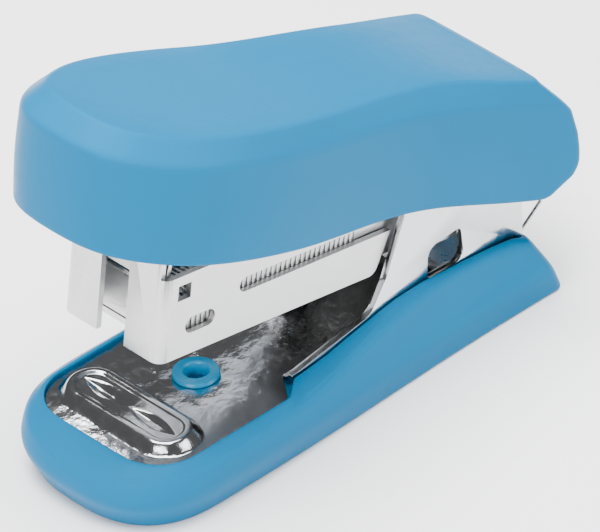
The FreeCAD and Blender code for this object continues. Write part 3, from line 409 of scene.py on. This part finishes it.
plate = bmesh.new()
nose_front = plate_low.x
floor = rounded_loop(
    [(nose_front, -PLATE_HALF), (-9.3, -PLATE_HALF), (FLANGE_START, -UPRIGHT_OUT + 1.5),
     (FLANGE_REAR, -UPRIGHT_OUT + 1.5), (FLANGE_REAR, UPRIGHT_OUT - 1.5),
     (FLANGE_START, UPRIGHT_OUT - 1.5), (-9.3, PLATE_HALF), (nose_front, PLATE_HALF)],
    [PLATE_CORNER, 0.8, 0.0, 0.0, 0.0, 0.0, 0.8, PLATE_CORNER], steps=16)
eyelet_middle = sum(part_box("plate_eyelet"), Vector()) / 2 / MM
rivet_middle = sum(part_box("spring_rivet"), Vector()) / 2 / MM


def round_hole(x, y, radius, count=32):
    """Closed loop for a round hole, as points in a plane."""
    return [(x + radius * math.cos(2 * math.pi * i / count),
             y + radius * math.sin(2 * math.pi * i / count)) for i in range(count)]


flat_holes = [[(x, y, PLATE_TOP) for x, y in round_hole(eyelet_middle.x, 0, 1.5)],
              [(x, y, PLATE_TOP) for x, y in round_hole(rivet_middle.x, 0, 0.95)]]
sheet_blank(plate, [(x, y, PLATE_TOP) for x, y in floor], (0, 0, -SHEET), flat_holes)
upright_holes = [rounded_loop([(12.9, 9.5), (18.3, 9.3), (17.9, 13.6), (13.1, 13.3)],
                              [0.5, 1.3, 0.6, 1.6]),
                 [Vector(point) for point in round_hole(pivot.x, pivot.z, PIN_HOLE)]]
ear = [(pivot.x + EAR * math.sin(turn), pivot.z + EAR * math.cos(turn))
       for turn in (math.radians(10 * step) for step in range(0, 10))]
BEND_TOP = PLATE_TOP + BEND
upright = rounded_loop(
    [(FLANGE_START, BEND_TOP - 0.25), (FLANGE_REAR, BEND_TOP - 0.25), (FLANGE_REAR, pivot.z)]
    + ear[8:0:-1] + [(pivot.x, pivot.z + EAR), (11.4, 20.6), (10.0, 19.4), (6.8, 12.4), (4.6, 9.3),
                     (FLANGE_START + 1.0, BEND_TOP + 0.05)],
    [0.0, 0.0, 0.0] + [0.0] * 8 + [0.0, 1.0, 0.6, 3.0, 2.5, 0.4], steps=8)
for side in (-1, 1):
    sheet_blank(plate, [(x, side * UPRIGHT_IN, z) for x, z in upright],
                (0, side * (UPRIGHT_OUT - UPRIGHT_IN), 0),
                [[(x, side * UPRIGHT_IN, z) for x, z in loop] for loop in upright_holes])
    section = [plate.verts.new((FLANGE_START, side * (UPRIGHT_IN - BEND), z))
               for z in (PLATE_TOP, PLATE_TOP - SHEET)]
    section.append(plate.verts.new((FLANGE_REAR, side * (UPRIGHT_IN - BEND), PLATE_TOP - SHEET)))
    section.append(plate.verts.new((FLANGE_REAR, side * (UPRIGHT_IN - BEND), PLATE_TOP)))
    strip = plate.faces.new(section)
    bmesh.ops.spin(plate, geom=[strip], cent=(0, side * (UPRIGHT_IN - BEND), BEND_TOP),
                   axis=(side, 0, 0), angle=math.pi / 2, steps=8, use_duplicate=False)
eased_edges(plate, 0.09)
bmesh.ops.recalc_face_normals(plate, faces=plate.faces)

chrome = new_material("bright_plate", (0.56, 0.57, 0.59), 1.0, 0.16)
grained(chrome, 900, 0.06, 0.2, "Roughness")
bumped(chrome, grained(chrome, 420, 0.0, 1.0, detail=8), 0.7, 0.00013)


def fading_up(material, low_height, high_height, low, high, target):
    """Leads a value by height, from the flat floor of the pressing to its uprights."""
    tree = material.node_tree
    coordinates = tree.nodes.new("ShaderNodeTexCoord")
    split = tree.nodes.new("ShaderNodeSeparateXYZ")
    fade = tree.nodes.new("ShaderNodeMapRange")
    fade.inputs["From Min"].default_value = low_height * MM
    fade.inputs["From Max"].default_value = high_height * MM
    fade.inputs["To Min"].default_value = low
    fade.inputs["To Max"].default_value = high
    tree.links.new(coordinates.outputs["Object"], split.inputs["Vector"])
    tree.links.new(split.outputs["Z"], fade.inputs["Value"])
    tree.links.new(fade.outputs["Result"], target)


chrome_bump = chrome.node_tree.nodes["Bump"]
fading_up(chrome, PLATE_TOP + 0.1, PLATE_TOP + 1.4, 0.7, 0.01, chrome_bump.inputs["Strength"])
finished("base_plate_pressing", plate, chrome, "base", "chrome_plate", "base_plate")

# ------------------------------------------------------------------ anvil
# The anvil is pressed up in the plate's nose: an oval boss with long soft sides, a shallow
# dished oval on top, and two leaf-shaped pockets that curl the staple's legs inwards.
ANVIL_X, ANVIL_RISE = nose_front + 5.5, 1.25
ANVIL_HALF, ANVIL_REACH = 3.9, 9.4
SPINE = ANVIL_REACH - ANVIL_HALF


def anvil_height(x, y):
    """Height of the pressed sheet over the plate, from the distance to the boss's edge."""
    along = min(max(y, -SPINE), SPINE)
    out = math.hypot(x, y - along)
    height = ANVIL_RISE * eased((ANVIL_HALF - out) / 1.5)
    height -= 0.22 * eased((2.05 - out) / 0.35)
    for side in (-1, 1):
        across, reach = x, y - side * 3.55
        leaf = 1.15 * max(0.0, 1 - (abs(reach) / 3.5)**1.7)
        if leaf > 0:
            depth = max(0.0, 1 - abs(across - 0.10 * side) / leaf)
            height -= 0.62 * eased(depth * 1.25) * min(1.0, leaf)
    return height


anvil = bmesh.new()
STATIONS, RINGS = 160, 44
lengths = [2 * SPINE, math.pi * ANVIL_HALF]
total = 2 * sum(lengths)


def boss_edge(share):
    """Middle-line point and outward heading at a share of the way round the boss."""
    run = share * total
    if run < lengths[0]:
        return run - SPINE, (1.0, 0.0)
    run -= lengths[0]
    if run < lengths[1]:
        turn = run / ANVIL_HALF
        return SPINE, (math.cos(turn), math.sin(turn))
    run -= lengths[1]
    if run < lengths[0]:
        return SPINE - run, (-1.0, 0.0)
    turn = (run - lengths[0]) / ANVIL_HALF
    return -SPINE, (-math.cos(turn), -math.sin(turn))


edge_verts = []
for i in range(STATIONS):
    along, (nx, ny) = boss_edge(i / STATIONS)
    edge_verts.append(anvil.verts.new((nx * ANVIL_HALF, along + ny * ANVIL_HALF, 0)))
loop = [anvil.edges.new(pair) for pair in zip(edge_verts, edge_verts[1:] + edge_verts[:1])]
ring_verts = edge_verts
for step in range(1, RINGS + 1):
    made = bmesh.ops.extrude_edge_only(anvil, edges=loop)["geom"]
    fresh = {item for item in made if isinstance(item, bmesh.types.BMVert)}
    moved = []
    for i, vert in enumerate(ring_verts):
        out = next(edge.other_vert(vert) for edge in vert.link_edges if edge.other_vert(vert) in fresh)
        along, (nx, ny) = boss_edge(i / STATIONS)
        reach = ANVIL_HALF * (1 - step / RINGS)
        out.co = (nx * reach, along + ny * reach, 0)
        moved.append(out)
    ring_verts = moved
    loop = [item for item in made if isinstance(item, bmesh.types.BMEdge)
            and item.verts[0] in fresh and item.verts[1] in fresh]
bmesh.ops.remove_doubles(anvil, verts=anvil.verts, dist=0.004)
for vert in anvil.verts:
    vert.co.z = PLATE_TOP + 0.004 + anvil_height(vert.co.x, vert.co.y)
    vert.co.x += ANVIL_X
bmesh.ops.recalc_face_normals(anvil, faces=anvil.faces)
if max(anvil.faces, key=lambda face: face.calc_center_median().z).normal.z < 0:
    bmesh.ops.reverse_faces(anvil, faces=anvil.faces)
finished("anvil", anvil, chrome, "base", "chrome_plate", crease=80)

# ------------------------------------------------------------------ eyelet
# A tubular eyelet of blue enamelled metal fixes the plate's nose to the foot. Its shank passes through
# both, and its flange is rolled over on top of the plate. Its blue is the enamel's own, made lighter with
# painted light to offset the shade under the cover.
eyelet = bmesh.new()
EYELET_PROFILE = softened(
    [(1.45, 4.2), (1.45, 6.9), (2.55, 7.02), (2.5, 7.5), (1.35, 7.62), (1.15, 6.6), (1.15, 4.2)],
    [0.1, 0.1, 0.2, 0.3, 0.5], steps=8)
rim = [eyelet.verts.new((radius, 0, height)) for radius, height in EYELET_PROFILE]
rim_edges = [eyelet.edges.new(pair) for pair in zip(rim, rim[1:] + rim[:1])]
bmesh.ops.spin(eyelet, geom=rim + rim_edges, cent=(0, 0, 0), axis=(0, 0, 1), angle=2 * math.pi,
               steps=72, use_merge=True)
bmesh.ops.remove_doubles(eyelet, verts=eyelet.verts, dist=0.001)
bmesh.ops.translate(eyelet, verts=eyelet.verts, vec=(eyelet_middle.x, 0, 0))
bmesh.ops.recalc_face_normals(eyelet, faces=eyelet.faces)
# Painted light: the enamel's base colour is about twice as light as the plastic's, to brighten the eyelet
# where the cover shades it.
blue_enamel = new_material("blue_enamel", (0.0, 0.26, 0.52), 0.0, 0.22)
tinted(blue_enamel, grained(blue_enamel, 300, 0.0, 1.0), (0.0, 0.25, 0.50), (0.0, 0.27, 0.53))
bumped(blue_enamel, grained(blue_enamel, 900, 0.0, 1.0), 0.1, 0.00002)
finished("eyelet", eyelet, blue_enamel, "base", "blue_enamel", "plate_eyelet")

# ------------------------------------------------------------------ steel pieces kept from the frame
# Sheet and wire pieces whose shape is already right: the magazine, the rail, the lever, pins,
# rivets and springs. Their sheared edges are broken a little and each gets its own plating.
plated = new_material("plated_steel", (0.56, 0.56, 0.56), 1.0, 0.32)
grained(plated, 400, 0.27, 0.40, "Roughness", stretch=(1, 1, 6))
bumped(plated, grained(plated, 1200, 0.0, 1.0, detail=5, stretch=(0.3, 1, 1)), 0.10, 0.00003)
spring_steel = new_material("spring_steel", (0.55, 0.54, 0.52), 1.0, 0.30)
grained(spring_steel, 1500, 0.24, 0.38, "Roughness")
pin_steel = new_material("zinc_plated_pin", (0.70, 0.70, 0.69), 1.0, 0.28)
grained(pin_steel, 1100, 0.22, 0.36, "Roughness")
dark_bush = new_material("black_bush", (0.03, 0.03, 0.03), 0.0, 0.5)
grained(dark_bush, 900, 0.42, 0.60, "Roughness")
KEPT = {"magazine": plated, "staple_rail": plated, "lever": plated, "pusher": plated,
        "driver_blade": spring_steel, "magazine_spring": spring_steel, "rear_wire": spring_steel,
        "pusher_spring": spring_steel, "handle_spring": spring_steel, "guide_rod": pin_steel,
        "pivot_pin": pin_steel, "pin_clip": pin_steel, "spring_rivet": pin_steel,
        "driver_rivets": pin_steel, "cover_screws": pin_steel, "pivot_bush": dark_bush}
SHEARED = ("magazine", "staple_rail", "lever", "pusher", "driver_blade", "pivot_pin",
           "spring_rivet", "cover_screws", "driver_rivets")
for name, material in KEPT.items():
    node = nodes[name]
    node.data.materials.clear()
    node.data.materials.append(material)
    if name in SHEARED:
        weld = node.modifiers.new("joined", "WELD")
        weld.merge_threshold = 0.002 * MM
        edge = node.modifiers.new("broken_edges", "BEVEL")
        edge.width = 0.07 * MM
        edge.segments = 2
        edge.limit_method = "ANGLE"
        edge.angle_limit = math.radians(38)
        edge.harden_normals = True

# ------------------------------------------------------------------ staples
# A glued strip of galvanised wire staples. Each one is a flat crown with two bent legs, and the
# strip rides astride the rail inside the magazine.
MAGAZINE_TILT = 8.94
TILT = Matrix.Translation(pivot * MM) @ Matrix.Rotation(math.radians(MAGAZINE_TILT), 4, "Y")
STAPLE_PITCH, STAPLES, STAPLE_WIRE = 0.7, 37, 0.5
MAGAZINE_LOW, MAGAZINE_FRONT = -9.5, -48.1
CROWN_TOP, LEG_FOOT, CROWN_HALF = MAGAZINE_LOW + 6.9, MAGAZINE_LOW + 0.9, 6.45
STRIP_FRONT = MAGAZINE_FRONT + 2.3
staples = bmesh.new()
crown = rounded_loop(
    [(-CROWN_HALF, LEG_FOOT), (-CROWN_HALF, CROWN_TOP), (CROWN_HALF, CROWN_TOP), (CROWN_HALF, LEG_FOOT),
     (CROWN_HALF - STAPLE_WIRE, LEG_FOOT), (CROWN_HALF - STAPLE_WIRE, CROWN_TOP - STAPLE_WIRE),
     (-CROWN_HALF + STAPLE_WIRE, CROWN_TOP - STAPLE_WIRE), (-CROWN_HALF + STAPLE_WIRE, LEG_FOOT)],
    [0.0, 0.55, 0.55, 0.0, 0.0, 0.2, 0.2, 0.0], steps=3)
sheet_blank(staples, [(0, y, z) for y, z in crown], (STAPLE_PITCH - 0.05, 0, 0))
eased_edges(staples, 0.14, segments=2, angle=60)
one = staples.verts[:] + staples.edges[:] + staples.faces[:]
for index in range(1, STAPLES):
    copy = bmesh.ops.duplicate(staples, geom=one)["geom"]
    copied = [item for item in copy if isinstance(item, bmesh.types.BMVert)]
    bmesh.ops.translate(staples, verts=copied, vec=(index * STAPLE_PITCH, 0, 0))
bmesh.ops.translate(staples, verts=staples.verts, vec=(STRIP_FRONT, 0, 0))
bmesh.ops.recalc_face_normals(staples, faces=staples.faces)
staple_wire = new_material("galvanised_staple", (0.42, 0.42, 0.42), 1.0, 0.3)
grained(staple_wire, 1300, 0.22, 0.40, "Roughness", stretch=(3, 1, 1))
finished("staple_strip_of_wire", staples, staple_wire, "magazine_body", "staple_wire",
         "staple_strip", place=TILT)

# ------------------------------------------------------------------ cover
# The cover is a thick moulded shell in the same blue plastic: broad over the magazine's nose,
# waisted and bowed up where it is gripped, with a crease along the wall and a flat raised top.
# Two bosses inside take the screws that hold it to the lever. Its back is open for the uprights.
COVER_TILT, HANDLE_TILT = 20.8, 18.94
COVER_PLACE = Matrix.Translation(pivot * MM) @ Matrix.Rotation(math.radians(COVER_TILT), 4, "Y")
DROP, REACH, BACK = 5.42, 58.2, 9.9
BROAD, WAIST, REAR_HALF, WAIST_X = 12.5, 10.1, 10.6, -14.0
ARCH, ARCH_REACH = 0.9, 20.0
CROWN_START, CROWN_RISE = 11.5, 1.5
COVER_HALF = [
    (-REACH, 0.0), (-REACH + 1.2, BROAD * 0.5), (-REACH + 5.7, BROAD * 0.82),
    (-REACH + 17.2, BROAD), (WAIST_X - 12.0, (BROAD + WAIST) / 2 - 0.1), (WAIST_X, WAIST),
    (WAIST_X + 11.0, (WAIST + REAR_HALF) / 2 - 0.2), (4.0, REAR_HALF - 0.2), (12.0, REAR_HALF + 0.4)]
WALL_HEIGHT, COVER_HEIGHT, CEILING, SHELL = 11.0, 13.6, 12.1, 1.1
COVER_BACK = [(0.0, BACK - 4.3), (0.4, BACK - 2.5), (1.0, BACK - 1.5), (2.0, BACK - 0.66),
              (3.2, BACK - 0.14), (4.2, BACK), (6.0, BACK - 0.6), (9.6, BACK - 2.2),
              (11.0, BACK - 4.0), (13.6, BACK - 8.2), (15.0, BACK - 9.0)]
SWEEP = [(0.0, 0.0), (11.0, 2.8), (13.6, 2.5), (15.0, 2.4)]
cover_line = smooth_through(COVER_HALF)
# inset at the nose, inset at the tail, height, and how far inside the outer back
cover_wall = softened(
    [(4.6, 3.6, CEILING, 1.3), (3.4, 2.0, CEILING, 1.2), (1.4, 1.4, 10.4, 1.2), (SHELL, SHELL, 0.0, 1.1),
     (0.0, 0.0, 0.0, 0.0), (-0.12, -0.1, 5.0, 0.0), (0.3, 0.3, WALL_HEIGHT, 0.0),
     (2.3, 1.3, COVER_HEIGHT, 0.0), (4.6, 3.2, COVER_HEIGHT + 0.06, 0.0)],
    [0.5, 0.8, 0.3, 0.45, 2.6, 0.8, 0.5], steps=8)


def dome(x, y):
    """The top's slight crown across the stapler."""
    return -0.15 * (y / BROAD)**2


def arched(x):
    """How far the whole cover is bowed up along its length, at its waist."""
    return ARCH * math.cos(min(1.0, abs(x - WAIST_X) / ARCH_REACH) * math.pi / 2)**2


def cover_ring(nose_in, tail_in, height, margin):
    """One ring of the cover's skin: its insets, its height, and how far inside the outer back."""
    forward = between(SWEEP, height)
    back = sum(between(COVER_BACK, height + shift) for shift in (-0.5, -0.25, 0, 0.25, 0.5)) / 5

    def move(point, heading):
        share = eased((point[0] + 10) / 14)
        inset = nose_in + (tail_in - nose_in) * share
        return point[0] + heading[1] * inset - forward, point[1] - heading[0] * inset

    ring = half_ring(cover_line, move, back - margin, 0.9, 120, 26)
    lift = eased((height - CROWN_START) / CROWN_RISE)
    return [(x, y, height - DROP + lift * dome(x, y) + arched(x)) for x, y in ring]


def to_cover_spine(ring, steps, front, back):
    """Closes the last ring onto the middle line, following the top's crown."""
    made = []
    for step in range(1, steps + 1):
        share = step / steps
        closed = []
        for x, y, z in ring:
            inward = x + (min(max(x, front), back) - x) * share
            level = z - dome(x, y) - arched(x)
            closed.append((inward, y * (1 - share),
                           level + dome(x, y * (1 - share)) + arched(inward)))
        made.append(closed)
    return made


cover_rings = [cover_ring(*row) for row in cover_wall]
cover_rings = (to_cover_spine(cover_rings[0], 10, -REACH + 9, -8.0)[::-1] + cover_rings
               + to_cover_spine(cover_rings[-1], 14, -REACH + 9, -8.0))
cover = skinned(cover_rings)


def cut_from(bm, cutter):
    """The mesh with a closed cutter taken out of it."""
    pieces = []
    for source in (bm, cutter):
        mesh = bpy.data.meshes.new("cutting")
        source.to_mesh(mesh)
        pieces.append(bpy.data.objects.new("cutting", mesh))
        bpy.context.scene.collection.objects.link(pieces[-1])
    cut = pieces[0].modifiers.new("cut", "BOOLEAN")
    cut.operation, cut.solver, cut.object = "DIFFERENCE", "EXACT", pieces[1]
    bpy.context.view_layer.update()
    ready = pieces[0].evaluated_get(bpy.context.evaluated_depsgraph_get())
    bm.clear()
    bm.from_mesh(ready.to_mesh())
    for piece in pieces:
        bpy.data.objects.remove(piece)
    return bm


slot = bmesh.new()
# the back is open between the uprights, so that the cover can swing up
slot_box = bmesh.ops.create_cube(slot, size=1.0)["verts"]
SLOT_HALF, SLOT_TOP = UPRIGHT_OUT + 0.35, WALL_HEIGHT - DROP - 0.4
bmesh.ops.scale(slot, verts=slot_box, vec=(12.0, 2 * SLOT_HALF, SLOT_TOP + DROP + 3))
bmesh.ops.translate(slot, verts=slot_box, vec=(6.5, 0, (SLOT_TOP - DROP - 3) / 2))
cover = cut_from(cover, slot)
slot.free()
LEAN = math.radians(COVER_TILT - HANDLE_TILT)
LEVER_TOP, SCREWS = 4.3, (-36.0, -16.0)
BOSS_LOW_RADIUS, BOSS_HIGH_RADIUS = 2.2, 2.35
BOSS_SUNK = 0.3
for x in SCREWS:
    boss_low = LEVER_TOP * math.cos(LEAN) + x * math.sin(LEAN)
    boss_x = x * math.cos(LEAN) - LEVER_TOP * math.sin(LEAN)
    tall = CEILING - DROP - boss_low + BOSS_SUNK + arched(boss_x)
    boss = bmesh.ops.create_cone(cover, cap_ends=True, segments=40, radius1=BOSS_LOW_RADIUS,
                                 radius2=BOSS_HIGH_RADIUS, depth=tall)["verts"]
    bmesh.ops.rotate(cover, verts=boss, cent=(0, 0, 0), matrix=Matrix.Rotation(-LEAN, 3, "Y"))
    bmesh.ops.translate(cover, verts=boss, vec=(boss_x, 0, boss_low + tall / 2))
finished("cover_moulding", cover, blue_plastic, "handle", "blue_plastic", "top_cover",
         place=COVER_PLACE, crease=50)

# ------------------------------------------------------------------ setting
# A plain pale table, with one broad soft light overhead and two weaker ones beside the stapler.
# None of these belong to the stapler.
table = bmesh.new()
bmesh.ops.create_grid(table, x_segments=2, y_segments=2, size=3.0)
table_mesh = bpy.data.meshes.new("table")
table.to_mesh(table_mesh)
table.free()
table_top = bpy.data.objects.new("table", table_mesh)
bpy.context.scene.collection.objects.link(table_top)
pale = new_material("pale_table", (0.93, 0.93, 0.93), 0.0, 0.6)
table_mesh.materials.append(pale)

world = bpy.data.worlds.new("studio")
world.use_nodes = True
world.node_tree.nodes["Background"].inputs["Color"].default_value = (1, 1, 1, 1)
world.node_tree.nodes["Background"].inputs["Strength"].default_value = 0.14
bpy.context.scene.world = world

middle = (cad_low + cad_high) / 2


def soft_light(name, offset, size, power):
    """A square studio light that faces the stapler."""
    lamp = bpy.data.lights.new(name, "AREA")
    lamp.size = size
    lamp.energy = power
    holder = bpy.data.objects.new(name, lamp)
    holder.location = middle + Vector(offset)
    holder.rotation_euler = (-Vector(offset)).to_track_quat("-Z", "Y").to_euler()
    bpy.context.scene.collection.objects.link(holder)


soft_light("overhead", (-0.02, 0.05, 0.60), 0.60, 18.0)
soft_light("left_front", (-0.55, -0.20, 0.25), 0.35, 4.0)
soft_light("right_front", (0.30, -0.60, 0.30), 0.40, 3.0)

# The camera has a long lens. It looks down from the left of the nose and is tipped a little.
AZIMUTH, ELEVATION, ROLL = math.radians(-42.57), math.radians(36.48), math.radians(-2.35)
DISTANCE, LENS = 1.0, 587.3
AIM = middle + Vector((-0.0086, -0.0116, 0.0003))
look = Vector((-math.sin(AZIMUTH) * math.cos(ELEVATION), math.cos(AZIMUTH) * math.cos(ELEVATION),
               -math.sin(ELEVATION)))
camera_data = bpy.data.cameras.new("camera")
camera_data.lens = LENS
camera_data.clip_start = 0.01
camera = bpy.data.objects.new("camera", camera_data)
turn = look.to_track_quat("-Z", "Y").to_matrix().to_4x4() @ Matrix.Rotation(ROLL, 4, "Z")
camera.matrix_world = Matrix.Translation(AIM - look * DISTANCE) @ turn
bpy.context.scene.collection.objects.link(camera)
bpy.context.scene.camera = camera
